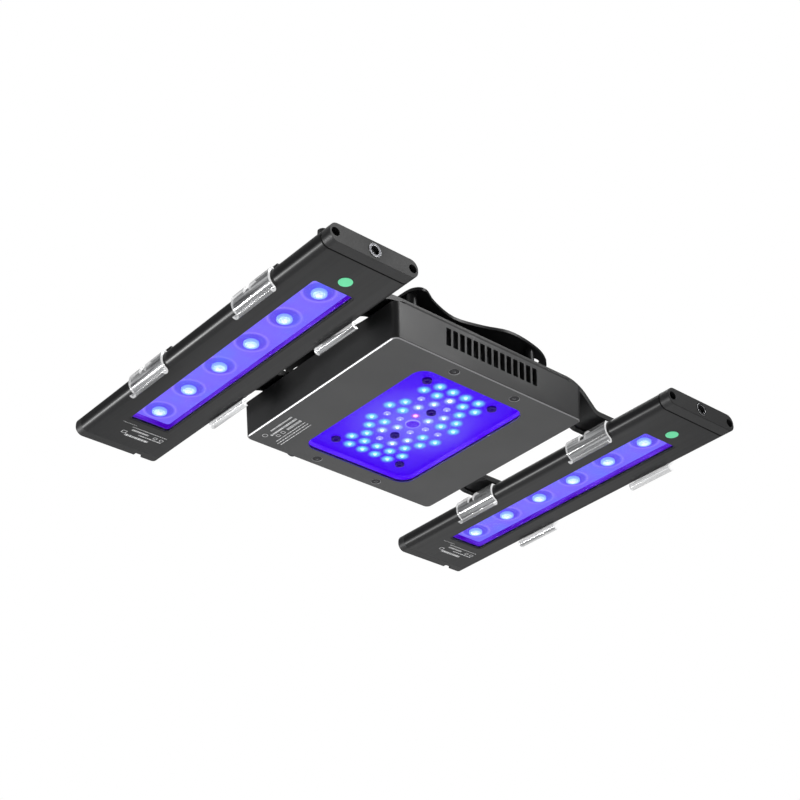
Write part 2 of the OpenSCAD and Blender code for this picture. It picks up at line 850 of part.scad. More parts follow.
module cap_holes(y0, y1, mouth) {
    for (s = [-1, 1]) translate([s * cap_screw_x, 0, bar_t / 2]) rotate([-90, 0, 0]) {
        pin_at(0, 0, y0 - 1, y1 + 1, 1.6);
        pin_at(0, 0, mouth[0], mouth[1], cap_screw_r);
    }
}

module near_cap(sx) {
    color(satin_black) on_bar(sx) difference() {
        bar_run(bar_y0, body_y0) bar_section();
        cap_holes(bar_y0, body_y0, [bar_y0 - 1, bar_y0 + cap_screw_in[0]]);
        translate([0, 0, bar_t / 2]) rotate([-90, 0, 0])
            pin_at(0, 0, bar_y0 - 1, body_y0 + 1, socket_r + 0.05);
    }
}

module far_cap(sx) {
    color(satin_black) on_bar(sx) difference() {
        bar_run(body_y1, bar_y1) bar_section();
        cap_holes(body_y1, bar_y1, [bar_y1 - cap_screw_in[1], bar_y1 + 1]);
        translate([notch_x, 0, 0]) box(-notch_half, notch_half, bar_y1 - 3, bar_y1 + 1, -1, 3);
    }
}

module cap_screw() {
    screw_down(cap_screw_head[0], cap_screw_head[1], 1.25, 12);
}

module cap_screws(sx) {
    color(steel) on_bar(sx) for (s = [-1, 1]) translate([s * cap_screw_x, 0, bar_t / 2]) {
        translate([0, bar_y0 + cap_screw_in[0], 0]) rotate([90, 0, 0]) cap_screw();
        translate([0, bar_y1 - cap_screw_in[1], 0]) rotate([-90, 0, 0]) cap_screw();
    }
}

// A low domed stud seated in the bar's upper edge
module top_stud(sx) {
    color(soft_black) on_bar(sx) translate([sx * stud_x, stud_y, bar_t]) difference() {
        union() {
            translate([0, 0, -stud_seat]) cylinder(h = stud_seat + 1.4, r = stud_r);
            translate([0, 0, 1.4 - eps]) cylinder(h = 1, r1 = stud_r, r2 = 2.4);
        }
        translate([0, 0, 1.5]) cylinder(h = 2, r = 1.1, $fn = 6);
    }
}

module socket(sx) {
    color("#d9dbde") on_bar(sx) translate([0, 0, bar_t / 2]) rotate([-90, 0, 0]) difference() {
        pin_at(0, 0, bar_y0 - socket_lip, body_y0 - 1, socket_r);
        pin_at(0, 0, bar_y0 - 1, bar_y0 - socket_lip + socket_bore_len, socket_bore_r);
        pin_at(0, 0, bar_y0, body_y0 - 2, socket_bore_r - 0.6);
    }
}

module socket_pin(sx) {
    color("#c9a24a") on_bar(sx) translate([0, 0, bar_t / 2]) rotate([-90, 0, 0])
        pin_at(0, 0, bar_y0 + socket_bore_len, body_y0 - 2, 1);
}

module bar_gasket(sx) {
    color(soft_black) on_bar(sx) translate([0, window_mid, 0]) difference() {
        union() {
            slab(2 * window_half - 0.04, window_len - 0.04, window_corner, 0.25, bar_wall);
            slab(bar_cover_w, window_len + 5, 4, bar_wall, bar_cover_z - bar_wall);
        }
        slab(2 * (window_half - border), window_len - 2 * border, 2, -1, 5);
    }
}

module bar_cover(sx) {
    plug = border + 0.1;
    plug_h = bar_cover_z - cover_face_z + eps;
    color(clear_plastic) on_bar(sx) translate([0, window_mid, 0]) {
        slab(bar_cover_w, window_len + 5, 4, bar_cover_z, 1);
        slab(2 * (window_half - plug), window_len - 2 * plug, 1.9, cover_face_z, plug_h);
    }
}

module led_strip(sx) {
    color(violet) on_bar(sx) translate([0, window_mid, 0])
        slab(2 * strip_rail[1] - 0.6, window_len + 8, 2, strip_z, 1.2);
}

module led_pucks(sx) {
    color("#cfe6ff") on_bar(sx) for (i = [0 : 5])
        translate([0, bar_shift + 0.15 + (i - 2.5) * puck_pitch, puck_z]) {
            cylinder(h = 1, r1 = puck_r[0], r2 = puck_r[1]);
            translate([0, 0, 1 - eps])
                cylinder(h = strip_z - puck_z - 1 + eps, r1 = puck_r[1], r2 = puck_r[2]);
        }
}

module marker_dot(sx) {
    color("#7ce8b0") on_bar(sx) pin_at(marker_x, marker_y, -0.25, 0, marker_r);
}

module left_bar_body() { bar_body(-1); }
module left_near_cap() { near_cap(-1); }
module left_far_cap() { far_cap(-1); }
module left_cap_screws() { cap_screws(-1); }
module left_top_stud() { top_stud(-1); }
module left_socket() { socket(-1); }
module left_socket_pin() { socket_pin(-1); }
module left_bar_gasket() { bar_gasket(-1); }
module left_bar_cover() { bar_cover(-1); }
module left_led_strip() { led_strip(-1); }
module left_led_pucks() { led_pucks(-1); }
module left_marker_dot() { marker_dot(-1); }
module right_bar_body() { bar_body(1); }
module right_near_cap() { near_cap(1); }
module right_far_cap() { far_cap(1); }
module right_cap_screws() { cap_screws(1); }
module right_top_stud() { top_stud(1); }
module right_socket() { socket(1); }
module right_socket_pin() { socket_pin(1); }
module right_bar_gasket() { bar_gasket(1); }
module right_bar_cover() { bar_cover(1); }
module right_led_strip() { led_strip(1); }
module right_led_pucks() { led_pucks(1); }
module right_marker_dot() { marker_dot(1); }

panel_housing();
window_gasket();
window_cover();
led_board();
led_emitters();
centre_emitter();
board_screws();
heat_sink();
fan_frame();
fan_stator();
fan_bearing();
fan_rotor();
fan_shaft();
fan_screws();
control_board();
board_parts();
board_rails();
inner_wires();
face_screws();
top_lid();
lid_screws();
power_inlet();
inlet_nut();
inlet_pins();
near_strap();
far_strap();
strap_screws();
hanger_posts();
hanger_plate();
hanger_screws();
left_near_clip();
left_far_clip();
right_near_clip();
right_far_clip();
clip_screws();
left_bar_body();
left_near_cap();
left_far_cap();
left_cap_screws();
left_top_stud();
left_socket();
left_socket_pin();
left_bar_gasket();
left_bar_cover();
left_led_strip();
left_led_pucks();
left_marker_dot();
right_bar_body();
right_near_cap();
right_far_cap();
right_cap_screws();
right_top_stud();
right_socket();
right_socket_pin();
right_bar_gasket();
right_bar_cover();
right_led_strip();
right_led_pucks();
right_marker_dot();
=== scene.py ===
import math
import random

import bmesh
import bpy
from mathutils import Matrix, Vector


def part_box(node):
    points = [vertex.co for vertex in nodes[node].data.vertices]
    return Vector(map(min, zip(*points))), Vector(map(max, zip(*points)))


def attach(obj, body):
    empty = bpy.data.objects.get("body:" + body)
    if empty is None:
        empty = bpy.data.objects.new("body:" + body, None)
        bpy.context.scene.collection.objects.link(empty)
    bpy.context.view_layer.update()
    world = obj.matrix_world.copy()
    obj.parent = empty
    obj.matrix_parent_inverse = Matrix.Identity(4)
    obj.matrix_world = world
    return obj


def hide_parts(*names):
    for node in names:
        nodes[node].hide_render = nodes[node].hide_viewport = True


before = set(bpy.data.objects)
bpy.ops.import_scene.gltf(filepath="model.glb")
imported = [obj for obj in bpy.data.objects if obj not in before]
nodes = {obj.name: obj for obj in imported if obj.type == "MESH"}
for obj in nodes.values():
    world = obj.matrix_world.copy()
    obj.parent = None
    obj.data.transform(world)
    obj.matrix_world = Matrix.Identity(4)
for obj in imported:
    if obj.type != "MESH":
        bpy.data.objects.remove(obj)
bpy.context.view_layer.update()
rng = random.Random(7)
MM = 0.001
TAU = 2 * math.pi
SIDES = ("left", "right")


# ---- Materials -----------------------------------------------------------------------------------

def material(name, color, roughness, **sockets):
    """A Principled material. A keyword is a socket's name, with _ for each space."""
    mat = bpy.data.materials.new(name)
    mat.use_nodes = True
    shader = mat.node_tree.nodes["Principled BSDF"]
    shader.inputs["Base Color"].default_value = (*color, 1)
    shader.inputs["Roughness"].default_value = roughness
    for key, value in sockets.items():
        shader.inputs[key.replace("_", " ")].default_value = value
    return mat


def node(mat, kind, **inputs):
    """A node of that kind. An input is a number, a colour, or another node's socket."""
    made = mat.node_tree.nodes.new("ShaderNode" + kind)
    for key, value in inputs.items():
        wire(mat, value, made.inputs[int(key[1:]) if key[0] == "i" and key[1:].isdigit() else key])
    return made


def wire(mat, value, socket):
    """Links a socket to a socket, or sets it to a plain value."""
    if isinstance(value, bpy.types.NodeSocket):
        mat.node_tree.links.new(value, socket)
    else:
        socket.default_value = value


def shader_input(mat, name):
    return mat.node_tree.nodes["Principled BSDF"].inputs[name]


def places(mat, scale):
    """Object coordinates in metres, times scale along each axis."""
    at = node(mat, "TexCoord")
    return node(mat, "Mapping", Vector=at.outputs["Object"], Scale=scale).outputs["Vector"]


def noise(mat, scale, detail=3.0, rough=0.55):
    """Noise with that many cells a metre along each axis."""
    made = node(mat, "TexNoise", Vector=places(mat, scale), Detail=detail, Roughness=rough)
    made.inputs["Scale"].default_value = 1
    return made.outputs["Fac"]


def math_node(mat, operation, a, b=0.0):
    made = node(mat, "Math", i0=a, i1=b)
    made.operation = operation
    return made.outputs[0]


def spread(mat, value, low, high, from_low=0.3, from_high=0.7):
    """value, taken from its own range to low..high."""
    made = node(mat, "MapRange", Value=value)
    made.inputs["From Min"].default_value = from_low
    made.inputs["From Max"].default_value = from_high
    made.inputs["To Min"].default_value = low
    made.inputs["To Max"].default_value = high
    return made.outputs["Result"]


def ramp(mat, value, stops):
    """A colour ramp: stops are (place, colour)."""
    made = node(mat, "ValToRGB", Fac=value)
    band = made.color_ramp
    while len(band.elements) < len(stops):
        band.elements.new(1)
    for element, (place, color) in zip(band.elements, stops):
        element.position = place
        element.color = (*color, 1)
    return made.outputs["Color"]


def tint(mat, value, color, share):
    """The shader's base colour, varied by share either side of color."""
    stops = [(p, tuple(c * (1 + s * share) for c in color)) for p, s in ((0.3, -1), (0.7, 1))]
    wire(mat, ramp(mat, value, stops), shader_input(mat, "Base Color"))


def relief(mat, height, depth):
    """Bump of that depth in metres."""
    made = node(mat, "Bump", Height=height, Strength=1.0, Distance=depth)
    wire(mat, made.outputs["Normal"], shader_input(mat, "Normal"))


def coated(name, color, roughness, grain=1500.0, depth=0.00002, **sockets):
    """Powder coat or moulded plastic: a fine orange peel, with soft patches of sheen and colour."""
    mat = material(name, color, roughness, **sockets)
    cloud = noise(mat, (18, 18, 18))
    tint(mat, cloud, color, 0.10)
    fine = noise(mat, (grain,) * 3, 2.0)
    patches = math_node(mat, "MULTIPLY", cloud, 0.7)
    grains = math_node(mat, "MULTIPLY", fine, 0.3)
    sheen = math_node(mat, "ADD", patches, grains)
    wire(mat, spread(mat, sheen, roughness - 0.06, roughness + 0.08), shader_input(mat, "Roughness"))
    relief(mat, fine, depth)
    return mat


def drawn_metal(name, color, roughness, stretch, depth=0.000008):
    """Metal with fine lines along the axis in which stretch is small."""
    mat = material(name, color, roughness, Metallic=1.0)
    lines = noise(mat, stretch, 4.0, 0.7)
    tint(mat, noise(mat, (60, 60, 60)), color, 0.08)
    wire(mat, spread(mat, lines, roughness - 0.08, roughness + 0.12), shader_input(mat, "Roughness"))
    relief(mat, lines, depth)
    return mat


def highlight_band(mat, low, high, color):
    """A painted highlight: a lighter, metallic base colour in the band of heights from low to high."""
    height = node(mat, "SeparateXYZ", Vector=node(mat, "TexCoord").outputs["Object"]).outputs["Z"]
    above = math_node(mat, "GREATER_THAN", height, low)
    band = math_node(mat, "MULTIPLY", above, math_node(mat, "LESS_THAN", height, high))
    old = shader_input(mat, "Base Color").links[0].from_socket
    mixed = node(mat, "Mix", i0=band)
    mixed.data_type = "RGBA"
    wire(mat, old, mixed.inputs[6])
    mixed.inputs[7].default_value = (*color, 1)
    wire(mat, mixed.outputs[2], shader_input(mat, "Base Color"))
    wire(mat, band, shader_input(mat, "Metallic"))


def extruded_black(name, color, roughness, **sockets):
    """Anodised extrusion: long faint die lines along Y."""
    mat = material(name, color, roughness, **sockets)
    cloud = noise(mat, (18, 18, 18))
    lines = noise(mat, (700, 6, 700), 3.0)
    tint(mat, cloud, color, 0.10)
    wire(mat, spread(mat, lines, roughness - 0.05, roughness + 0.07), shader_input(mat, "Roughness"))
    relief(mat, lines, 0.000008)
    return mat


def clip_plastic(name, dark, light, thin, thick, lit):
    """Clear moulded plastic: long lines, dark to light, that hide more or less of what is behind; the dark
    and light lines are painted shade and highlight.
    The ends of the moulding, which face along Y, are painted white and given a painted glow; the other faces
    glow faintly."""
    mat = material(name, light, 0.12, IOR=1.5, Coat_Weight=0.6)
    facing = node(mat, "SeparateXYZ", Vector=node(mat, "TexCoord").outputs["Normal"]).outputs["Y"]
    end = math_node(mat, "GREATER_THAN", math_node(mat, "ABSOLUTE", facing), 0.75)
    flow = noise(mat, (420, 14, 420), 2.0)
    # Painted highlight and shade: streaks of the base colour from dark to light, with the ends white.
    shade = math_node(mat, "MAXIMUM", spread(mat, flow, 0.0, 1.0, 0.35, 0.62), end)
    painted_tone = ramp(mat, shade, [(0.0, dark), (1.0, light)])
    streaks = spread(mat, noise(mat, (260, 10, 260), 1.0), thin, thick)
    cover = math_node(mat, "MAXIMUM", streaks, math_node(mat, "MULTIPLY", end, 0.85))
    wire(mat, painted_tone, shader_input(mat, "Base Color"))
    wire(mat, cover, shader_input(mat, "Alpha"))
    # Painted glow: the ends give off pale grey light, the other faces a faint light of the given level.
    wire(mat, ramp(mat, end, [(0.0, (lit,) * 3), (1.0, (0.66,) * 3)]), shader_input(mat, "Emission Color"))
    shader_input(mat, "Emission Strength").default_value = 1.0
    relief(mat, flow, 0.00005)
    return mat


def cover_plastic(name, color):
    """A clear cover with hardly any gloss, so the lit board shows in its own colour."""
    mat = material(name, color, 0.03, Transmission_Weight=1.0, IOR=1.03)
    relief(mat, noise(mat, (40, 40, 40), 2.0), 0.00001)
    return mat


def glowing(name, base, glow, strength, roughness=0.5):
    """A lit surface, whose own light drowns nearly all of its gloss."""
    sockets = {"Emission_Color": (*glow, 1), "Emission_Strength": strength, "Specular_IOR_Level": 0.08}
    return material(name, base, roughness, **sockets)


def radial(mat, centre, pitch=None):
    """Distance in metres from centre in X and Y; with a pitch, from the nearest of a row along Y."""
    at = node(mat, "TexCoord").outputs["Object"]
    parts = node(mat, "SeparateXYZ", Vector=at)
    x = math_node(mat, "SUBTRACT", parts.outputs["X"], centre[0])
    y = math_node(mat, "SUBTRACT", parts.outputs["Y"], centre[1])
    if pitch:
        wrapped = node(mat, "Math", i0=y, i1=pitch / 2, i2=-pitch / 2)
        wrapped.operation = "WRAP"
        y = wrapped.outputs[0]
    squares = math_node(mat, "ADD", math_node(mat, "MULTIPLY", x, x), math_node(mat, "MULTIPLY", y, y))
    return math_node(mat, "SQRT", squares)


BLACK = (0.021, 0.0215, 0.0225)
powder = coated("powder_coat", BLACK, 0.42, 1700.0, 0.00003)
housing_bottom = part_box("panel_housing")[0].z
# Painted highlight: a lighter, metallic band along the housing's bottom edge.
highlight_band(powder, housing_bottom + 0.03 * MM, housing_bottom + 0.7 * MM, (0.42, 0.42, 0.43))
# Painted shade: the lid's coat is darker than the housing's, standing for the shade on it.
shaded_lid_coat = coated("shaded_lid_coat", (0.006, 0.0062, 0.0065), 0.48, 1700.0, 0.00003, Specular_IOR_Level=0.25)
anodised = extruded_black("anodised_bar", (0.011, 0.0112, 0.0118), 0.34, Specular_IOR_Level=0.22)
cap_plastic = coated("cap_plastic", (0.0115, 0.0117, 0.0122), 0.5, 1100.0, 0.00009, Specular_IOR_Level=0.38)
strap_coat = coated("strap_coat", (0.009, 0.0092, 0.0098), 0.34, 1600.0, 0.00003, Specular_IOR_Level=0.3)
rubber = coated("rubber", (0.012, 0.012, 0.0125), 0.7, 3000.0, 0.00003)
seal_black = coated("seal_black", (0.002, 0.002, 0.002), 0.8, 3000.0, 0.00003, Specular_IOR_Level=0.1)
# Painted light: the window gasket glows faint violet, standing for LED light spilt on it.
lit_rubber = coated("lit_rubber", (0.012, 0.012, 0.0125), 0.7, 3000.0, 0.00003,
                    Emission_Color=(0.05, 0.0, 0.45, 1), Emission_Strength=0.6)
fan_plastic = coated("fan_plastic", (0.016, 0.016, 0.017), 0.45, 1200.0, 0.00003)
clip_clear = clip_plastic("clip_clear", (0.015, 0.015, 0.02), (0.60, 0.61, 0.62), 0.2, 0.7, 0.04)
# Painted highlight: lighter, brighter-glowing clip plastic on the clips' rounded edges.
clip_highlight = clip_plastic("clip_highlight", (0.30, 0.30, 0.31), (0.95, 0.96, 0.97), 0.70, 0.95, 0.4)
cover_clear = cover_plastic("cover_clear", (0.97, 0.97, 1.0))
chrome = drawn_metal("chrome", (0.83, 0.84, 0.85), 0.3, (200, 200, 200), 0.0000004)
# Painted shade and highlight: the socket's face is a darkened copy of chrome, so only its chrome bevels show,
# as a bright ring.
shaded_chrome = drawn_metal("shaded_chrome", (0.05, 0.05, 0.055), 0.25, (500, 500, 2500), 0.000002)
# Painted shade: a darkened steel for the socket's thread, standing for the shade in the hole.
shaded_thread_steel = drawn_metal("shaded_thread_steel", (0.07, 0.07, 0.075), 0.25, (500, 2500, 500), 0.000002)
steel = drawn_metal("steel", (0.56, 0.56, 0.57), 0.3, (900, 900, 200))
black_steel = drawn_metal("black_steel", (0.035, 0.035, 0.04), 0.35, (900, 900, 200))
screen_steel = drawn_metal("screen_steel", (0.09, 0.09, 0.095), 0.4, (900, 900, 200))
# Painted highlight: the face screws are dark steel, with a lighter copy of it on their rounded edges.
face_steel = drawn_metal("face_steel", (0.02, 0.02, 0.022), 0.35, (900, 900, 200))
face_rim_highlight = drawn_metal("face_rim_highlight", (0.22, 0.22, 0.23), 0.3, (900, 900, 200))
# Painted highlight: a lighter copy of the powder coat, on the housing's rounded edges.
highlight_coat = coated("highlight_coat", (0.10, 0.102, 0.105), 0.34, 1700.0, 0.00002)
fin_aluminium = drawn_metal("fin_aluminium", (0.2, 0.2, 0.21), 0.45, (900, 12, 900))
brass = drawn_metal("brass", (0.80, 0.60, 0.28), 0.3, (800, 800, 300))
gold = drawn_metal("gold", (0.90, 0.68, 0.30), 0.2, (800, 800, 300))
wire_sleeve = coated("wire_sleeve", (0.35, 0.03, 0.03), 0.4, 900.0, 0.00002)
chip_plastic = coated("chip_plastic", (0.022, 0.022, 0.025), 0.5, 2500.0, 0.00003)
print_white = coated("print_white", (0.72, 0.72, 0.73), 0.55, 3000.0, 0.00001)
# Painted glow: the green marker dot gives off a little light of its own.
glowing_marker_paper = coated("glowing_marker_paper", (0.13, 0.66, 0.34), 0.5, 2500.0, 0.00002,
                      Emission_Color=(0.06, 0.40, 0.18, 1), Emission_Strength=0.2)


def copper_winding():
    """Enamelled wire: a bump and a painted highlight, a lighter base colour, along each turn's ridge."""
    mat = material("copper", (0.62, 0.26, 0.11), 0.3, Metallic=1.0)
    turns = node(mat, "TexWave", Vector=places(mat, (1, 1, 900)))
    turns.bands_direction = "Z"
    # Painted highlight: the base colour is lighter along each turn.
    tint(mat, turns.outputs["Fac"], (0.62, 0.26, 0.11), 0.35)
    relief(mat, turns.outputs["Fac"], 0.0001)
    return mat


def circuit_green():
    """Solder mask over a raised maze of tracks."""
    mat = material("circuit_green", (0.02, 0.13, 0.06), 0.35, Coat_Weight=0.3)
    maze = node(mat, "TexBrick", Vector=places(mat, (420, 420, 420)))
    maze.inputs["Scale"].default_value = 1
    maze.inputs["Mortar Size"].default_value = 0.08
    tracks = maze.outputs["Fac"]
    stops = [(0.0, (0.012, 0.09, 0.04)), (1.0, (0.04, 0.22, 0.10))]
    wire(mat, ramp(mat, tracks, stops), shader_input(mat, "Base Color"))
    relief(mat, tracks, 0.00005)
    return mat


copper = copper_winding()
circuit = circuit_green()


def lit_board():
    """The panel's LED board: saturated violet outside, paler where the emitters crowd."""
    mat = glowing("lit_board", (0.01, 0.0, 0.06), (0.07, 0.0, 1.0), 1.0)
    low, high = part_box("led_emitters")
    centre = (low + high) / 2
    away = radial(mat, centre)
    cloud = noise(mat, (60, 60, 60), 3.0)
    bent = math_node(mat, "ADD", away, math_node(mat, "MULTIPLY", cloud, 0.012))
    reach = high.y - centre.y
    share = spread(mat, bent, 0.0, 1.0, 0.3 * reach, 1.3 * reach)
    stops = [(0.0, (0.165, 0.135, 0.90)), (0.4, (0.115, 0.070, 0.88)), (0.75, (0.068, 0.006, 0.88)),
             (1.0, (0.052, 0.0, 0.86))]
    wire(mat, ramp(mat, share, stops), shader_input(mat, "Emission Color"))
    relief(mat, noise(mat, (700, 700, 700), 2.0), 0.00002)
    return mat


PUCK_PITCH = 38.74 * MM


def lit_strip(side):
    """A bar's LED board: pale violet with blue drifts, and a darker ring round each puck."""
    mat = glowing(side + "_lit_strip", (0.02, 0.01, 0.1), (0.15, 0.12, 1.0), 1.0)
    first = islands(side + "_led_pucks")[0]
    away = radial(mat, (first[0] + first[1]) / 2, PUCK_PITCH)
    rings = [
        (0.0, (0.40, 0.40, 1.0)), (0.19, (0.115, 0.075, 0.78)), (0.33, (0.130, 0.085, 0.80)),
        (0.39, (0.30, 0.22, 1.0)), (0.45, (0.20, 0.140, 0.96)), (0.62, (0.200, 0.150, 1.0)),
        (1.0, (0.20, 0.180, 1.0)),
    ]
    ringed = ramp(mat, spread(mat, away, 0.0, 1.0, 0.0, 30 * MM), rings)
    drift = noise(mat, (38, 26, 1), 2.0)
    blue = node(mat, "Mix", i0=spread(mat, drift, 0.0, 0.45, 0.45, 0.75))
    blue.data_type = "RGBA"
    wire(mat, ringed, blue.inputs[6])
    blue.inputs[7].default_value = (0.10, 0.24, 1.0, 1)
    wire(mat, blue.outputs[2], shader_input(mat, "Emission Color"))
    relief(mat, noise(mat, (900, 900, 900), 2.0), 0.00002)
    return mat


def lit_lens(name, glow, strength, flecks=0.0):
    """A lit lens, with darker flecks where the optics turn the light away."""
    mat = glowing(name, (0.6, 0.8, 0.9), glow, strength, 0.15)
    shader_input(mat, "Coat Weight").default_value = 0.5
    cells = node(mat, "TexVoronoi", Vector=places(mat, (900, 900, 900)))
    cells.inputs["Scale"].default_value = 1
    dim = tuple(c * (1 - flecks) for c in glow)
    stops = [(0.0, glow), (0.38, glow), (0.52, dim), (0.66, dim), (0.8, glow)]
    wire(mat, ramp(mat, cells.outputs["Distance"], stops), shader_input(mat, "Emission Color"))
    relief(mat, cells.outputs["Distance"], 0.0001)
    return mat


def pool_of_light(name, near, far):
    """Light spilt on a board: full and pale at the middle of a disc, nothing at its rim."""
    mat = bpy.data.materials.new(name)
    mat.use_nodes = True
    tree = mat.node_tree
    tree.nodes.remove(tree.nodes["Principled BSDF"])
    fall = node(mat, "Attribute")
    fall.attribute_name = "fall"
    color = ramp(mat, fall.outputs["Fac"], [(0.05, far), (0.6, near)])
    light = node(mat, "Emission", Color=color, Strength=1.0)
    through = node(mat, "BsdfTransparent")
    mixed = node(mat, "MixShader", Fac=fall.outputs["Fac"])
    tree.links.new(through.outputs[0], mixed.inputs[1])
    tree.links.new(light.outputs[0], mixed.inputs[2])
    tree.links.new(mixed.outputs[0], tree.nodes["Material Output"].inputs["Surface"])
    return mat


# ---- Mesh helpers --------------------------------------------------------------------------------

def islands(name):
    """The box of each separate solid in a CAD node, as (low, high) corners, in order of place."""
    mesh = nodes[name].data
    spots = {}
    ids = [spots.setdefault(tuple(round(c, 6) for c in v.co), len(spots)) for v in mesh.vertices]
    root = list(range(len(spots)))

    def find(i):
        while root[i] != i:
            root[i] = root[root[i]]
            i = root[i]
        return i

    for face in mesh.polygons:
        first = find(ids[face.vertices[0]])
        for v in face.vertices[1:]:
            root[find(ids[v])] = first
    groups = {}
    for v, i in zip(mesh.vertices, ids):
        groups.setdefault(find(i), []).append(v.co)
    boxes = [
        tuple(Vector(f(co[k] for co in group) for k in range(3)) for f in (min, max))
        for group in groups.values()
    ]
    return sorted(boxes, key=lambda b: (round(b[0].x, 4), round(b[0].y, 4), round(b[0].z, 4)))


def soften(name, width, mat, edge=None):
    """Rounds a CAD node's sharp edges by width in mm, in the material edge where it is given."""
    obj = nodes[name]
    mesh = obj.data
    if "custom_normal" in mesh.attributes:
        mesh.attributes.remove(mesh.attributes["custom_normal"])
    mesh.polygons.foreach_set("use_smooth", [True] * len(mesh.polygons))
    mesh.materials.clear()
    mesh.materials.append(mat)
    weld = obj.modifiers.new("weld", "WELD")
    weld.merge_threshold = 0.003 * MM
    flat = obj.modifiers.new("flat", "DECIMATE")
    flat.decimate_type = "DISSOLVE"
    flat.angle_limit = math.radians(0.4)
    bevel = obj.modifiers.new("bevel", "BEVEL")
    bevel.width = width * MM
    bevel.segments = 2
    bevel.limit_method = "ANGLE"
    bevel.angle_limit = math.radians(33)
    bevel.harden_normals = True
    bevel.use_clamp_overlap = True
    if edge:
        mesh.materials.append(edge)
        bevel.material = 1


def new_piece(name, body, bm, mats, replaces=()):
    """The bmesh as an object that rides on a body."""
    mesh = bpy.data.meshes.new(name)
    bmesh.ops.recalc_face_normals(bm, faces=bm.faces)
    bm.to_mesh(mesh)
    bm.free()
    for mat in mats:
        mesh.materials.append(mat)
    mesh.polygons.foreach_set("use_smooth", [True] * len(mesh.polygons))
    obj = bpy.data.objects.new(name, mesh)
    bpy.context.scene.collection.objects.link(obj)
    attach(obj, body)
    if replaces:
        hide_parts(*replaces)


def lathe(bm, profile, centre, sides, mat=0, closed=False):
    """Turns (radius, height) points round the upright axis through centre. A radius of 0 is a pole."""
    circle = [(math.cos(TAU * k / sides), math.sin(TAU * k / sides)) for k in range(sides)]
    rows = []
    for r, h in profile:
        spots = circle if r else circle[:1]
        rows.append([bm.verts.new(Vector((r * x, r * y, h)) + centre) for x, y in spots])
    pairs = list(zip(rows, rows[1:]))
    if closed:
        pairs.append((rows[-1], rows[0]))
    for a, b in pairs:
        for k in range(sides):
            n = (k + 1) % sides
            corners = [a[k % len(a)], a[n % len(a)], b[n % len(b)], b[k % len(b)]]
            corners = [c for i, c in enumerate(corners) if c not in corners[:i]]
            if len(corners) > 2:
                bm.faces.new(corners).material_index = mat
    return rows


def rounded_rect(w, l, r, steps):
    """Points round a rounded rectangle, middle at 0."""
    across, along = w / 2 - r, l / 2 - r
    points = []
    for q, (x, y) in enumerate([(across, along), (-across, along), (-across, -along), (across, -along)]):
        for k in range(steps + 1):
            turn = (q + k / steps) * math.pi / 2
            points.append((x + r * math.cos(turn), y + r * math.sin(turn)))
    return points


def loft(bm, rings, closed=False):
    """Joins rings of points, each the same number, into a skin with flat ends or into a closed loop."""
    rows = [[bm.verts.new(p) for p in ring] for ring in rings]
    pairs = list(zip(rows, rows[1:]))
    if closed:
        pairs.append((rows[-1], rows[0]))
    for a, b in pairs:
        for k in range(len(a)):
            n = (k + 1) % len(a)
            bm.faces.new((a[k], a[n], b[n], b[k]))
    if not closed:
        bm.faces.new(rows[0])
        bm.faces.new(rows[-1])


def plate(bm, centre, w, l, r, z0, z1, edge, steps=4):
    """A rounded plate whose lower rim is chamfered by edge. z0 is its lower face."""
    def ring(inset, z):
        points = rounded_rect(w - 2 * inset, l - 2 * inset, max(r - inset, 0.02 * MM), steps)
        return [Vector((centre.x + x, centre.y + y, z)) for x, y in points]
    loft(bm, [ring(edge, z0), ring(0, z0 + edge), ring(0, z1)])


def tube(bm, points, radius):
    """A thin six-sided bar along a list of points."""
    spokes = [TAU * k / 6 for k in range(6)]
    rings = []
    for i, p in enumerate(points):
        ahead = (points[min(i + 1, len(points) - 1)] - points[max(i - 1, 0)]).normalized()
        side = ahead.cross(Vector((0.13, 0.27, 0.95))).normalized()
        up = side.cross(ahead)
        rings.append([p + radius * (side * math.cos(a) + up * math.sin(a)) for a in spokes])
    loft(bm, rings)


def mid(box):
    """The middle of a (low, high) box."""
    return (box[0] + box[1]) / 2


def dome(radius, rim, pole):
    """Lathe points of a dome, from its rim's height to its pole's."""
    turns = [k * math.pi / 2 / 6 for k in range(6)]
    return [(radius * math.cos(a), rim + (pole - rim) * math.sin(a)) for a in turns] + [(0, pole)]


# ---- Panel: light side ---------------------------------------------------------------------------

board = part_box("led_board")
board_z = board[0].z
panel_mid = mid(board)
window_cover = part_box("window_cover")
LED_ROW = 10.56 * MM
LED_STEP = 12.6 * MM
RINGED = {(-3, -1.5), (-3, 0.5), (0, -2), (0, -1), (0, 1), (0, 2), (1, 0.5), (3, -0.5)}
WARM = (-4, 0)
RED = (-1, -0.5)
PACKAGE_H = 0.7 * MM

package = glowing("led_package", (0.3, 0.25, 0.7), (0.16, 0.11, 1.0), 0.9)
lens_cyan = lit_lens("lens_cyan", (0.62, 0.97, 1.0), 2.4)
lens_white = lit_lens("lens_white", (0.95, 0.97, 1.0), 3.0)
lens_warm = lit_lens("lens_warm", (1.0, 0.86, 0.95), 2.5)
lens_red = lit_lens("lens_red", (1.0, 0.38, 0.62), 1.6)
lens_ring = glowing("lens_ring", (0.3, 0.3, 0.8), (0.25, 0.30, 1.0), 0.9, 0.1)
lens_body = lit_lens("lens_body", (0.40, 0.90, 1.0), 1.1)
halo = glowing("lens_halo", (0.3, 0.3, 0.8), (0.45, 0.50, 1.0), 1.0, 0.1)
LENSES = [package, lens_cyan, lens_white, lens_warm, lens_red, lens_ring, lens_body, halo]
CYAN, WHITE, WARM_LENS, RED_LENS, RING_LENS, BODY, HALO = range(1, 8)
BODY_OF = {CYAN: BODY, WHITE: BODY, WARM_LENS: WHITE, RED_LENS: RED_LENS, RING_LENS: RING_LENS}


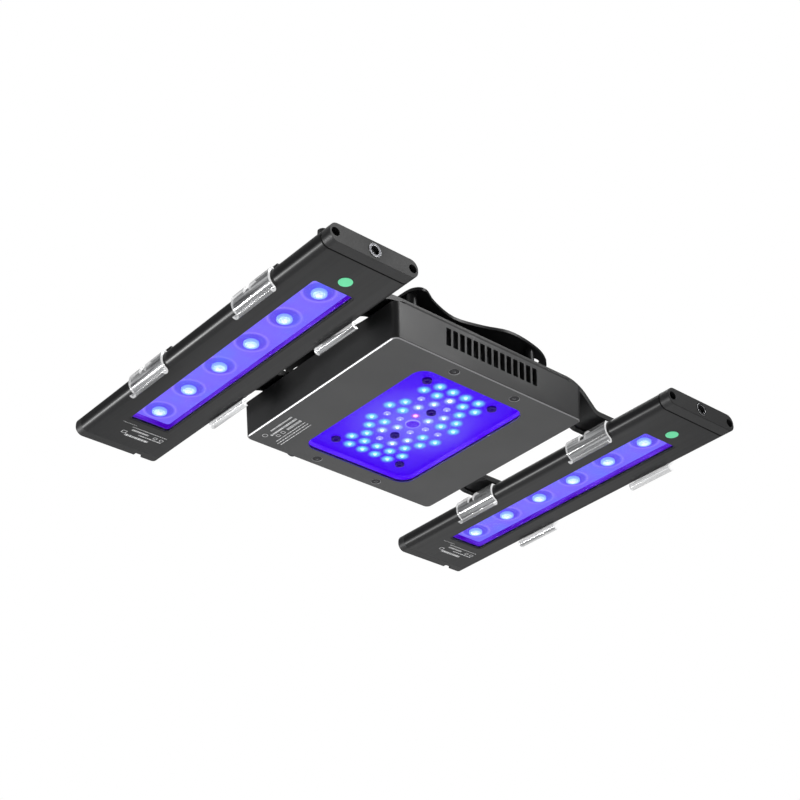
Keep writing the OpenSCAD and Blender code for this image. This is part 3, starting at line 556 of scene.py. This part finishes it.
def lens_kind(at):
    """Which lens an emitter has, from its row and its place in the row."""
    spot = (round((at.y - panel_mid.y) / LED_ROW), round(2 * (at.x - panel_mid.x) / LED_STEP) / 2)
    if spot in RINGED:
        return RING_LENS
    if spot == WARM:
        return WARM_LENS
    if spot == RED:
        return RED_LENS
    return WHITE if abs(spot[1]) < 1.1 and abs(spot[0]) < 4 else CYAN


def emitter(bm, box, kind):
    """A square package with a flanged dome. Ringed kinds are nearly dark, with a bright rim."""
    low, high = box
    at = Vector((*mid(box)[:2], 0))
    w = high.x - low.x
    face = high.z - PACKAGE_H
    plate(bm, at, w, w, 0.35 * MM, face, high.z, 0.15 * MM)
    r = 1.4 * MM
    tip = high.z - 1.8 * MM
    flange = [(1.6 * MM, face), (1.6 * MM, face - 0.12 * MM), (r, face - 0.2 * MM)]
    lathe(bm, flange + dome(r, face - 0.2 * MM, tip + 0.1 * MM)[1:], at, sides=24, mat=BODY_OF[kind])
    core = 0.6 * MM if kind == RING_LENS else 1.1 * MM
    lathe(bm, dome(core, tip + 0.62 * MM, tip), at, sides=16, mat=WHITE if kind == RING_LENS else kind)
    if kind == RING_LENS:
        rim = [(2.45 * MM, -0.1 * MM), (2.68 * MM, 0), (2.45 * MM, 0.1 * MM), (2.22 * MM, 0)]
        lathe(bm, [(a, face - 0.1 * MM + b) for a, b in rim], at, sides=28, mat=HALO, closed=True)


def emitters():
    """Every LED package of the panel, each with the lens of its kind."""
    bm = bmesh.new()
    for box in islands("led_emitters"):
        emitter(bm, box, lens_kind(mid(box)))
    new_piece("emitter_packages", "fixture", bm, LENSES, ["led_emitters"])


def glow_disc(bm, fall, at, radius, peak, mat):
    """A flat disc whose fall value drops from peak at its middle to 0 at its rim."""
    shares = [1 - k / 8 for k in range(9)]
    rows = lathe(bm, [(radius * s, 0) for s in shares], at, sides=20, mat=mat)
    for row, s in zip(rows, shares):
        for v in row:
            v[fall] = peak * (1 - s * s) ** 1.5


def glow_discs():
    """Light that each emitter spills around itself, just in front of its package."""
    bm = bmesh.new()
    fall = bm.verts.layers.float.new("fall")
    glows = [
        pool_of_light("glow_cyan", (0.24, 0.84, 1.0), (0.12, 0.18, 1.0)),
        pool_of_light("glow_white", (0.50, 0.72, 1.0), (0.14, 0.13, 1.0)),
        pool_of_light("glow_red", (0.90, 0.20, 0.75), (0.30, 0.10, 1.0)),
    ]
    look = {CYAN: (0, 6.4, 1.0), WHITE: (1, 6.0, 0.9), WARM_LENS: (1, 6.0, 1.0), RED_LENS: (2, 4.6, 0.9),
            RING_LENS: (1, 4.6, 0.3)}
    for i, box in enumerate(islands("led_emitters")):
        at = mid(box)
        mat, radius, peak = look[lens_kind(at)]
        for depth, size, share in ((0.04, radius, 1.0), (1.22, 0.55 * radius, 0.5)):
            at.z = board_z - PACKAGE_H - (depth + 0.004 * (i % 12)) * MM
            glow_disc(bm, fall, at, size * MM, peak * share, mat)
    new_piece("emitter_glow", "fixture", bm, glows)


def centre_lens():
    """The flat ringed element in the middle of the board."""
    bm = bmesh.new()
    at = Vector((*mid(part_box("centre_emitter"))[:2], 0))
    face = board_z - 1.1 * MM
    rim = [(5.7, 1.1), (5.7, 0.25), (5.6, 0), (5.4, 0), (5.25, 0.3)]
    lathe(bm, [(a * MM, face + b * MM) for a, b in rim], at, sides=48, mat=0)
    dish = [(5.25, 0.3), (3.6, 0.55), (2.0, 0.5), (1.8, 0.2), (0.9, 0.05), (0, 0)]
    lathe(bm, [(a * MM, face + b * MM) for a, b in dish], at, sides=40, mat=1)
    rim_glow = glowing("centre_rim", (0.2, 0.2, 0.6), (0.30, 0.26, 1.0), 0.9, 0.2)
    dish_glow = glowing("centre_dish", (0.05, 0.02, 0.2), (0.085, 0.02, 0.76), 0.95, 0.15)
    new_piece("centre_lens", "fixture", bm, [rim_glow, dish_glow], ["centre_emitter"])


screw_shade = glowing("board_screw_shade", (0.02, 0.01, 0.06), (0.008, 0.0, 0.13), 1.0)


SKIN_GAP = 0.03 * MM


def lit_wall(name, deep, pale):
    """A lit side wall, paler in drifts along it."""
    mat = glowing(name, (0.02, 0.0, 0.1), deep, 1.0)
    drift = noise(mat, (30, 30, 200), 2.0)
    wire(mat, ramp(mat, drift, [(0.35, deep), (0.7, pale)]), shader_input(mat, "Emission Color"))
    return mat


def reflector(name, body, mid_at, near, far, z0, z1, outward, mat, corner):
    """A sloping wall round a board: near is its opening at z0, far at z1, as (width, length)."""
    bm = bmesh.new()

    def ring(size, z, r):
        return [Vector((mid_at.x + x, mid_at.y + y, z)) for x, y in rounded_rect(*size, r, 8)]
    outer = (near[0] + outward, near[1] + outward)
    far_r = corner - (near[0] - far[0]) / 2
    outer_r = corner + outward / 2
    rings = [ring(near, z0, corner), ring(far, z1, far_r), ring(outer, z1, outer_r), ring(outer, z0, outer_r)]
    loft(bm, rings, closed=True)
    new_piece(name, body, bm, [mat])


def panel_reflector():
    """The sloping wall between the panel's window and its board."""
    wall = lit_wall("panel_wall", (0.075, 0.0, 0.93), (0.13, 0.04, 1.0))
    low, high = window_cover
    size = (high.x - low.x, high.y - low.y)
    near = (size[0] - 5 * MM, size[1] - 5 * MM)
    far = (near[0] - 3.5 * MM, near[1] - 3.5 * MM)
    z0, z1 = high.z + SKIN_GAP, board_z - SKIN_GAP
    reflector("panel_reflector", "fixture", panel_mid, near, far, z0, z1, 4 * MM, wall, 12 * MM)


def vent_screen():
    """A fine woven screen behind the vent slots."""
    sink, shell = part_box("heat_sink"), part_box("panel_housing")
    y, middle = sink[0].y - 1.4 * MM, mid(sink).x
    bottom, top = shell[0].z + 11 * MM, shell[0].z + 28 * MM
    half, pitch, wire_r = 48 * MM, 1.1 * MM, 0.26 * MM
    bm = bmesh.new()
    for k in range(round(2 * half / pitch) + 1):
        x = middle - half + k * pitch
        tube(bm, [Vector((x, y, bottom)), Vector((x, y, top))], wire_r)
    for k in range(round((top - bottom) / pitch) + 1):
        z = bottom + k * pitch
        tube(bm, [Vector((middle - half, y, z)), Vector((middle + half, y, z))], wire_r)
    new_piece("vent_screen", "fixture", bm, [screen_steel])


# ---- Printed marks: plain dashes and shapes ------------------------------------------------------

MARK_T = 0.03 * MM


def dash_row(bm, start, length, height, along, longest):
    """A row of short dashes from start, along X or Y, with a gap after each."""
    done = 0.0
    while done < length:
        dash = min(rng.uniform(0.45, 0.4 * longest + 0.3), length - done)
        if dash > 0.3:
            at = start + Vector((done + dash / 2, 0, 0) if along == "X" else (0, done + dash / 2, 0)) * MM
            size = (dash, height) if along == "X" else (height, dash)
            plate(bm, at, size[0] * MM, size[1] * MM, 0.12 * MM, at.z - MARK_T, at.z, 0.01 * MM, steps=2)
        done += dash + rng.uniform(0.45, 0.85)


def outline_square(bm, at, size):
    """A square frame, drawn by four dashes."""
    for x, y, w, l in ((-1, 0, 0.35, size), (1, 0, 0.35, size), (0, -1, size, 0.35), (0, 1, size, 0.35)):
        spot = at + Vector((x, y, 0)) * (size / 2) * MM
        plate(bm, spot, w * MM, l * MM, 0.1 * MM, at.z - MARK_T, at.z, 0.01 * MM, steps=2)


def circle_mark(bm, at, radius):
    """A thin plain ring."""
    ring = [(radius, 0), (radius, -MARK_T / MM), (radius - 0.35, -MARK_T / MM), (radius - 0.35, 0)]
    lathe(bm, [(a * MM, b * MM) for a, b in ring], at, sides=24, closed=True)


def panel_marks():
    """Rows of dashes, two squares and a ring by the panel's left edge."""
    low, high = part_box("panel_housing")
    at = Vector((low.x + 10.6 * MM, panel_mid.y + 42 * MM, low.z))
    rows = [(0.0, 26, 1.5, 2.6), (4.2, 32, 1.9, 3.4), (8.4, 17, 2.4, 1.6), (12.4, 36, 0.8, 5.0),
            (15.2, 38, 0.8, 6.0), (18.0, 38, 0.8, 4.0)]
    bm = bmesh.new()
    for x, length, height, longest in rows:
        dash_row(bm, at + Vector((x, 0, 0)) * MM, length, height, "Y", longest)
    circle_mark(bm, at + Vector((0.4, 34, 0)) * MM, 2.2)
    outline_square(bm, at + Vector((8.4, 22, 0)) * MM, 2.8)
    outline_square(bm, at + Vector((8.4, 28, 0)) * MM, 2.8)
    new_piece("panel_marks", "fixture", bm, [print_white])


def bar_marks(side):
    """Rows of dashes, two squares and a ring at a bar's far end."""
    low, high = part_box(side + "_bar_body")
    x = (low.x + high.x) / 2
    bm = bmesh.new()
    rows = [
        (17.6, -18, 12, 0.5, 2.0), (20.8, -8, 30, 0.7, 3.0), (24.6, -6, 14, 2.2, 1.6),
        (28.6, 2, 20, 1.0, 4.0), (33.4, -7, 20, 2.6, 2.8),
    ]
    for y, start, length, height, longest in rows:
        at = Vector((x + start * MM, high.y - (48 - y) * MM, low.z))
        dash_row(bm, at, length, height, "X", longest)
    circle_mark(bm, Vector((x + 20 * MM, high.y - 22.6 * MM, low.z)), 1.7)
    outline_square(bm, Vector((x + 14.6 * MM, high.y - 22.6 * MM, low.z)), 2.6)
    outline_square(bm, Vector((x - 9.5 * MM, high.y - 17.6 * MM, low.z)), 3.4)
    new_piece(side + "_bar_marks", side + "_bar", bm, [print_white])


# ---- Bars: pucks, reflector, socket --------------------------------------------------------------

puck_rim = glowing("puck_rim", (0.2, 0.3, 0.6), (0.22, 0.36, 1.0), 1.0, 0.2)
puck_lens = lit_lens("puck_lens", (0.46, 0.76, 1.0), 1.0, 0.85)
puck_core = lit_lens("puck_core", (0.92, 1.0, 1.0), 1.1, 0.85)


def puck(bm, box):
    """A round lens in a stepped ring: a skirt, then twelve facets round a bright core."""
    low, high = box
    at = Vector((*mid(box)[:2], 0))
    r = (high.x - low.x) / 2
    skirt = [(r * 0.86, 0), (r, -0.7), (r, -2.0), (r * 0.97, -2.3), (r * 0.93, -2.4)]
    lathe(bm, [(a, high.z + b * MM) for a, b in skirt], at, sides=48, mat=0)
    bowl = [(r * 0.93, -2.4), (r * 0.86, -2.15), (r * 0.74, -2.3)]
    lathe(bm, [(a, high.z + b * MM) for a, b in bowl], at, sides=48, mat=0)
    facets = [(r * 0.74, -2.3), (r * 0.62, -2.5), (r * 0.46, -2.95)]
    rows = lathe(bm, [(a, high.z + b * MM) for a, b in facets], at, sides=48, mat=1)
    for k, v in enumerate(rows[1]):
        v.co.z += 0.22 * MM * math.cos(TAU * k / 4)
    lathe(bm, dome(r * 0.46, high.z - 2.95 * MM, low.z + 0.05 * MM), at, sides=48, mat=2)


def pucks(side):
    """The six lens pucks of a bar."""
    bm = bmesh.new()
    for box in islands(side + "_led_pucks"):
        puck(bm, box)
    new_piece(side + "_puck_lenses", side + "_bar", bm, [puck_rim, puck_lens, puck_core],
              [side + "_led_pucks"])


def bar_reflector(side):
    """The sloping wall between a bar's window and its board."""
    wall = lit_wall(side + "_wall", (0.06, 0.0, 0.42), (0.14, 0.04, 0.75))
    cover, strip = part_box(side + "_bar_cover"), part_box(side + "_led_strip")
    size = cover[1] - cover[0]
    near = (size.x - 5 * MM, size.y - 5 * MM)
    far = (near[0] - 1.2 * MM, near[1] - 1.2 * MM)
    z0, z1 = cover[1].z + SKIN_GAP, strip[0].z - SKIN_GAP
    reflector(side + "_reflector", side + "_bar", mid(cover), near, far, z0, z1, 3 * MM, wall, 3 * MM)


def outline(points):
    """The convex outline of flat points, as a loop."""
    def half(ordered):
        chain = []
        for p in ordered:
            while len(chain) > 1 and (chain[-1] - chain[-2]).cross(p - chain[-1]) <= 0:
                chain.pop()
            chain.append(p)
        return chain[:-1]
    ordered = sorted((Vector(p) for p in set(points)), key=lambda p: (p.x, p.y))
    return half(ordered) + half(ordered[::-1])


def cap_seal(side):
    """A thin black seal round the joint between the bar's body and its near cap."""
    body = nodes[side + "_bar_body"].data.vertices
    low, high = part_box(side + "_bar_body")
    end = [(round(v.co.x, 6), round(v.co.z, 6)) for v in body if v.co.y - low.y < 0.01 * MM]
    loop, middle = outline(end), (low + high) / 2
    thick, proud = 0.6 * MM, 0.05 * MM

    def ring(y, out):
        grow = 1 + out / (middle.z - low.z)
        return [Vector((p.x, y, middle.z + (p.y - middle.z) * grow)) for p in loop]
    bm = bmesh.new()
    loft(bm, [ring(low.y - thick, -proud), ring(low.y - thick, proud), ring(low.y + thick, proud),
              ring(low.y + thick, -proud)], closed=True)
    new_piece(side + "_cap_seal", side + "_bar", bm, [seal_black])


def helix(bm, centre, radius, y0, turns, pitch, thick):
    """A thread round an axis along Y."""
    per_turn = 28
    points = [
        centre + Vector((radius * math.cos(TAU * k / per_turn), 0, radius * math.sin(TAU * k / per_turn)))
        + Vector((0, y0 + pitch * k / per_turn - centre.y, 0))
        for k in range(round(turns * per_turn) + 1)
    ]
    tube(bm, points, thick)


def socket_threads(side):
    """The thread inside a bar's socket, in darkened steel: painted shade in the hole."""
    low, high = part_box(side + "_socket")
    bm = bmesh.new()
    helix(bm, (low + high) / 2, 3.2 * MM, low.y + 0.5 * MM, 3.6, 0.95 * MM, 0.24 * MM)
    new_piece(side + "_socket_thread", side + "_bar", bm, [shaded_thread_steel])


def inlet_threads():
    """The thread round the panel's power inlet."""
    low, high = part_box("power_inlet")
    axis = Vector(((low.x + high.x) / 2, 0, (low.z + high.z) / 2))
    bm = bmesh.new()
    helix(bm, axis, 5.42 * MM, high.y - 5.4 * MM, 6, 0.8 * MM, 0.2 * MM)
    new_piece("inlet_thread", "fixture", bm, [black_steel])


# ---- Fan -----------------------------------------------------------------------------------------

BLADES = 7


def fan_blade(bm, axis, turn, top, bottom, hub_r, tip_r):
    """A twisted, cambered blade from the hub to the tip."""
    rings = []
    stations = 7
    for i in range(stations):
        share = i / (stations - 1)
        r = hub_r + (tip_r - hub_r) * share
        pitch = math.radians(46 - 20 * share)
        chord = (top - bottom) * 0.8 / math.sin(pitch)
        section = []
        for upper in (1, -1):
            for k in range(6) if upper == 1 else range(6, 0, -1):
                t = k / 6
                camber = 0.09 * chord * math.sin(math.pi * t)
                thick = 0.55 * MM * math.sin(math.pi * min(max(t, 0.06), 0.94)) ** 0.5
                along, lift = (t - 0.5) * chord, camber + upper * thick
                x = along * math.cos(pitch) + lift * math.sin(pitch)
                z = along * math.sin(pitch) - lift * math.cos(pitch)
                angle = turn + x / r + 0.25 * share
                x, y = axis.x + r * math.cos(angle), axis.y + r * math.sin(angle)
                section.append(Vector((x, y, (top + bottom) / 2 + z)))
        rings.append(section)
    loft(bm, rings)


def fan_rotor():
    """The fan's cup-shaped hub and its blades."""
    low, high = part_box("fan_rotor")
    axis = Vector((*mid(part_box("fan_shaft"))[:2], 0))
    hub_r = 18 * MM
    top, bottom = high.z - 0.8 * MM, low.z + 0.8 * MM
    step, roof = high.z - 0.3 * MM, high.z - 1.6 * MM
    cup = [(15.8, low.z), (18, low.z), (18, top), (17.2, high.z), (6.5, high.z), (6, step), (1.6, step),
           (1.6, roof), (15.8, roof)]
    bm = bmesh.new()
    lathe(bm, [(r * MM, z) for r, z in cup], axis, sides=64, closed=True)
    for k in range(BLADES):
        fan_blade(bm, axis, TAU * k / BLADES, top, bottom, hub_r - 0.6 * MM, 36.4 * MM)
    new_piece("fan_blades", "fan", bm, [fan_plastic], ["fan_rotor"])


# ---- Finishes of the CAD nodes: node, edge rounding in mm, material ------------------------------

FINISHES = [
    ("panel_housing", 0.35, powder), ("window_gasket", 0.1, lit_rubber), ("window_cover", 0.12, cover_clear),
    ("board_screws", 0.12, screw_shade), ("heat_sink", 0.12, fin_aluminium), ("fan_frame", 0.25, fan_plastic),
    ("fan_stator", 0.15, copper), ("fan_bearing", 0.08, brass), ("fan_shaft", 0.1, steel),
    ("fan_screws", 0.12, black_steel), ("control_board", 0.08, circuit), ("board_parts", 0.15, chip_plastic),
    ("board_rails", 0.15, cap_plastic), ("inner_wires", 0.02, wire_sleeve), ("face_screws", 0.3, face_steel),
    ("top_lid", 0.2, shaded_lid_coat), ("lid_screws", 0.12, black_steel), ("power_inlet", 0.2, black_steel),
    ("inlet_nut", 0.15, steel), ("inlet_pins", 0.05, gold), ("near_strap", 0.35, strap_coat),
    ("far_strap", 0.35, strap_coat), ("strap_screws", 0.15, steel), ("hanger_posts", 0.25, strap_coat),
    ("hanger_plate", 0.3, strap_coat), ("hanger_screws", 0.1, steel), ("clip_screws", 0.08, steel),
    ("left_near_clip", 0.4, clip_clear), ("left_far_clip", 0.4, clip_clear),
    ("right_near_clip", 0.4, clip_clear), ("right_far_clip", 0.4, clip_clear),
]
BAR_FINISHES = [
    ("bar_body", 0.6, anodised), ("near_cap", 0.9, cap_plastic), ("far_cap", 0.3, cap_plastic),
    ("cap_screws", 0.12, black_steel), ("top_stud", 0.2, rubber), ("socket", 0.15, shaded_chrome),
    ("socket_pin", 0.2, gold), ("bar_gasket", 0.08, rubber), ("bar_cover", 0.12, cover_clear),
    ("marker_dot", 0.06, glowing_marker_paper),
]
# Materials for the bevels. For the clips, socket, face screws and housing it is a painted highlight, lighter
# than the face; the bar's bevels take rubber.
EDGES = {
    clip_clear: clip_highlight, shaded_chrome: chrome, face_steel: face_rim_highlight, anodised: rubber, powder: highlight_coat,
}
for name, width, mat in FINISHES + [(f"{s}_{n}", w, m) for s in SIDES for n, w, m in BAR_FINISHES]:
    soften(name, width, mat, EDGES.get(mat))
soften("led_board", 0.08, lit_board())

emitters()
glow_discs()
centre_lens()
panel_reflector()
vent_screen()
panel_marks()
inlet_threads()
fan_rotor()
for side in SIDES:
    soften(side + "_led_strip", 0.08, lit_strip(side))
    pucks(side)
    bar_reflector(side)
    socket_threads(side)
    cap_seal(side)
    bar_marks(side)


# ---- Floor, light and camera ---------------------------------------------------------------------

def floor():
    """A plain pale sheet, well below the hanging light."""
    half, z = 80.0, -1.45
    bm = bmesh.new()
    bm.faces.new([bm.verts.new((x * half, y * half, z)) for x, y in ((-1, -1), (1, -1), (1, 1), (-1, 1))])
    mesh = bpy.data.meshes.new("floor")
    bm.to_mesh(mesh)
    bm.free()
    paper = material("pale_floor", (0.86, 0.86, 0.86), 0.8)
    relief(paper, noise(paper, (300, 300, 300), 2.0), 0.0001)
    mesh.materials.append(paper)
    obj = bpy.data.objects.new("floor", mesh)
    bpy.context.scene.collection.objects.link(obj)


def sky(ambient):
    """White behind the object, and an even dimmer light on it."""
    world = bpy.data.worlds.new("studio")
    bpy.context.scene.world = world
    world.use_nodes = True
    tree = world.node_tree
    seen = tree.nodes.new("ShaderNodeLightPath").outputs["Is Camera Ray"]
    strength = tree.nodes.new("ShaderNodeMapRange")
    strength.inputs["To Min"].default_value = ambient
    strength.inputs["To Max"].default_value = 1.0
    back = tree.nodes["Background"]
    back.inputs["Color"].default_value = (1, 1, 1, 1)
    tree.links.new(seen, strength.inputs["Value"])
    tree.links.new(strength.outputs["Result"], back.inputs["Strength"])


def softbox(name, direction, distance, size, power):
    """A square area light that faces the object from a direction."""
    data = bpy.data.lights.new(name, "AREA")
    data.size = size
    data.energy = power
    lamp = bpy.data.objects.new(name, data)
    toward = Vector(direction).normalized()
    lamp.location = toward * distance
    lamp.rotation_mode = "QUATERNION"
    lamp.rotation_quaternion = toward.to_track_quat("Z", "Y")
    bpy.context.scene.collection.objects.link(lamp)


def overhead(direction, strength):
    """A broad, even light from above that keeps the floor pale right out to its edge."""
    data = bpy.data.lights.new("overhead", "SUN")
    data.energy = strength
    data.angle = math.radians(50)
    lamp = bpy.data.objects.new("overhead", data)
    lamp.rotation_mode = "QUATERNION"
    lamp.rotation_quaternion = Vector(direction).to_track_quat("Z", "Y")
    bpy.context.scene.collection.objects.link(lamp)


CAMERA_AT = (-0.708537, -0.803648, -0.690949)
CAMERA_DEGREES = (-40.72, -31.6, -1.17)
CAMERA_LENS = 74.47


def camera():
    """Below and in front of the left bar, looking up."""
    azimuth, elevation, roll = (math.radians(a) for a in CAMERA_DEGREES)
    level = math.cos(elevation)
    back = Vector((math.sin(azimuth) * level, -math.cos(azimuth) * level, math.sin(elevation)))
    right = (-back).cross(Vector((0, 0, 1))).normalized()
    up = right.cross(-back)
    turned_right = right * math.cos(roll) + up * math.sin(roll)
    turned_up = up * math.cos(roll) - right * math.sin(roll)
    data = bpy.data.cameras.new("camera")
    data.lens = CAMERA_LENS
    obj = bpy.data.objects.new("camera", data)
    obj.matrix_world = Matrix((turned_right, turned_up, back)).transposed().to_4x4()
    obj.location = CAMERA_AT
    bpy.context.scene.collection.objects.link(obj)
    bpy.context.scene.camera = obj


floor()
sky(0.10)
overhead((-0.3, 0.2, 1.0), 1.5)
softbox("key", (0.40, -0.66, 0.60), 1.6, 0.7, 10)
softbox("under", (0.469, 0.531, -0.594), 1.6, 0.8, 1.8)
softbox("edge", (-0.673, 0.65, -0.355), 2.1, 0.3, 32)
softbox("top", (0.5, 0.4, 0.8), 2.2, 1.2, 16)
camera()
bpy.context.scene.view_settings.view_transform = "Standard"
